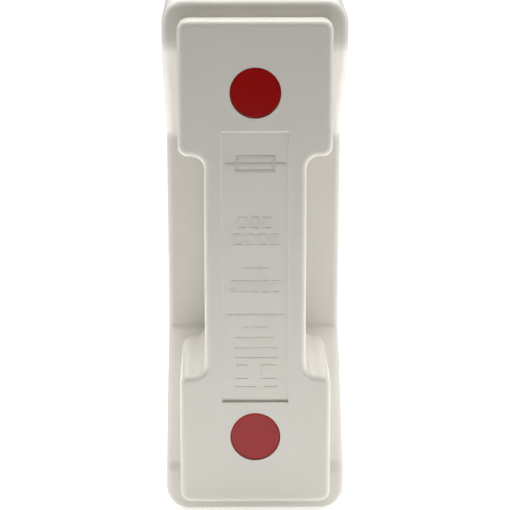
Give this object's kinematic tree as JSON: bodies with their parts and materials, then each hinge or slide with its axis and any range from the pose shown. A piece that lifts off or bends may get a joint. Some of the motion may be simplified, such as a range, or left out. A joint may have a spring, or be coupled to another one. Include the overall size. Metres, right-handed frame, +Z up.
{
  "type": "panel fuse holder",
  "caption": "Upright white moulded fuse holder: base tray, pull-out hood with a waisted grip and red screw plugs, and a bolted cartridge fuse-link inside.",
  "frame": {"origin": "centre of the flat rear mounting face", "axes": "+X across the width, front towards -Y, +Z up along the length"},
  "size_m": [0.0488, 0.088, 0.1406],
  "materials": {
    "white_moulding": "satin moulded",
    "base_white_moulding": "satin moulded",
    "label_white": "satin moulded",
    "red_plastic": "satin moulded",
    "tinned_copper": "tin plated copper",
    "zinc_steel": "zinc plated",
    "spring_steel": "bright",
    "brass_block": "machined",
    "plated_cap": "tin plated brass",
    "ceramic": "unglazed steatite",
    "silver_strip": "silver",
    "quartz_sand": "packed grains"
  },
  "bodies": {
    "base": {"base_moulding": "base_white_moulding", "contact_fixing_screws": "zinc_steel", "upper_fixed_contact": "tinned_copper", "upper_jaw_spring": "spring_steel", "upper_terminal_block": "brass_block", "lower_fixed_contact": "tinned_copper", "lower_jaw_spring": "spring_steel", "lower_terminal_block": "brass_block"},
    "carrier": {"carrier_moulding": "white_moulding", "label_plate": "label_white", "fuse_bolts": "zinc_steel", "plain_washers": "zinc_steel", "spring_washers": "spring_steel", "nuts": "zinc_steel", "fuse_barrel": "ceramic", "fuse_elements": "silver_strip", "quartz_filler": "quartz_sand", "upper_red_plug": "red_plastic", "upper_moving_contact": "tinned_copper", "upper_end_cap": "plated_cap", "upper_fuse_tag": "tinned_copper", "lower_red_plug": "red_plastic", "lower_moving_contact": "tinned_copper", "lower_end_cap": "plated_cap", "lower_fuse_tag": "tinned_copper"},
    "upper_clamp_pad": {"upper_clamp_pad": "zinc_steel"},
    "upper_clamp_screw": {"upper_clamp_screw": "zinc_steel"},
    "lower_clamp_pad": {"lower_clamp_pad": "zinc_steel"},
    "lower_clamp_screw": {"lower_clamp_screw": "zinc_steel"}
  },
  "joints": [
    {"name": "carrier_pull", "type": "slide", "parent": "base", "child": "carrier", "axis": [0, -1, 0], "range_m": [0, 0.06]},
    {"name": "upper_clamp_travel", "type": "slide", "parent": "base", "child": "upper_clamp_pad", "axis": [0, 1, 0], "range_m": [0, 0.0085]},
    {"name": "upper_clamp_turn", "type": "hinge", "parent": "upper_clamp_pad", "child": "upper_clamp_screw", "pos_m": [0, -0.026, 0.0585], "axis": [0, 1, 0], "range_deg": [0, 2448.1]},
    {"name": "lower_clamp_travel", "type": "slide", "parent": "base", "child": "lower_clamp_pad", "axis": [0, 1, 0], "range_m": [0, 0.0085]},
    {"name": "lower_clamp_turn", "type": "hinge", "parent": "lower_clamp_pad", "child": "lower_clamp_screw", "pos_m": [0, -0.026, -0.0585], "axis": [0, 1, 0], "range_deg": [0, 2448.1]}
  ],
  "couplings": [
    {"joint": "upper_clamp_turn", "follows": "upper_clamp_travel", "rad_per_m": 5026.5},
    {"joint": "lower_clamp_turn", "follows": "lower_clamp_travel", "rad_per_m": 5026.5}
  ]
}
